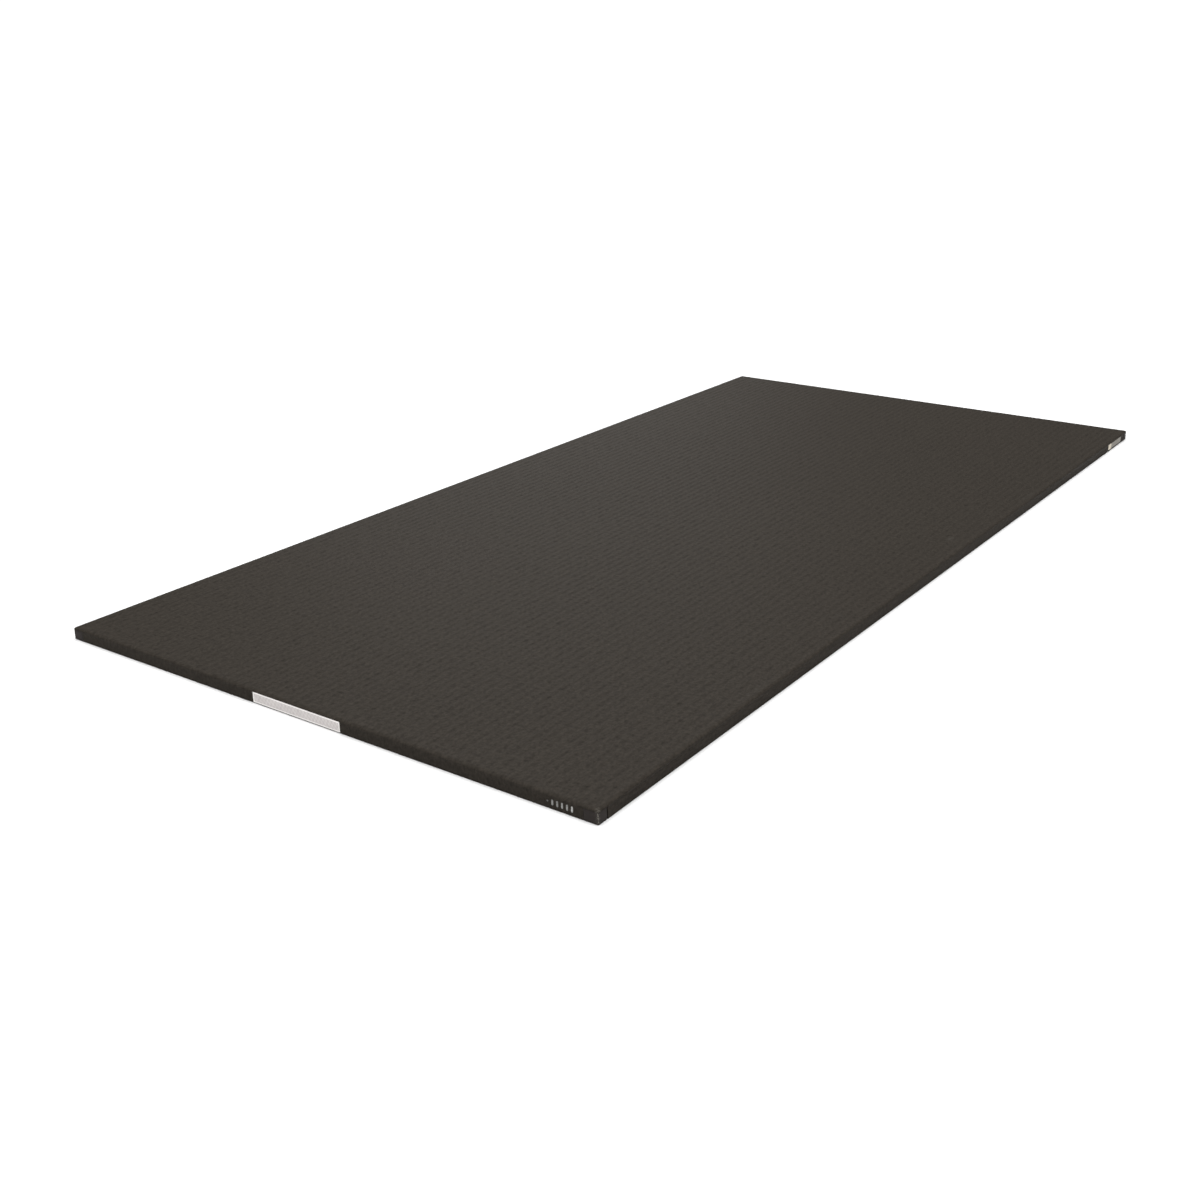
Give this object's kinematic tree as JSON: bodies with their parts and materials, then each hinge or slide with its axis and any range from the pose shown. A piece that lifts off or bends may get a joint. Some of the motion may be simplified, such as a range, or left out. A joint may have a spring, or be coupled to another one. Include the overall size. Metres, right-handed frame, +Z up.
{
  "type": "tatami sports mat",
  "caption": "Flat rectangular martial-arts mat: rice-straw embossed vinyl cover wrapped round a dense foam slab on a non-slip waffle base.",
  "frame": {"origin": "middle of the underside, on the floor", "axes": "+X along the 2 m length, away from the end with the foil label; +Y across the 1 m width, away from the long side with the side label; +Z up"},
  "size_m": [2, 1, 0.02],
  "materials": {
    "cover": "charcoal PVC-coated cloth, embossed with rice-straw rows, satin",
    "patch": "plain charcoal vinyl, satin, scuffed along the upright edge",
    "cloth": "woven polyester, natural",
    "foam": "rebonded polyurethane foam, mixed crumb",
    "base": "latex-coated waffle cloth, matt",
    "silver_foil": "metallised film, fine slanted hatch, pale border",
    "white_film": "white film label",
    "grey_foil": "grey metallised film"
  },
  "bodies": {
    "root": {"tatami_cover": "cover", "reinforcing_cloth": "cloth", "foam_core": "foam", "antislip_base": "base", "corner_patch_front_right": "patch", "corner_patch_front_left": "patch", "corner_patch_back_right": "patch", "corner_patch_back_left": "patch", "foil_label": "silver_foil", "side_label_white": "white_film", "side_label_grey": "grey_foil"}
  },
  "joints": []
}
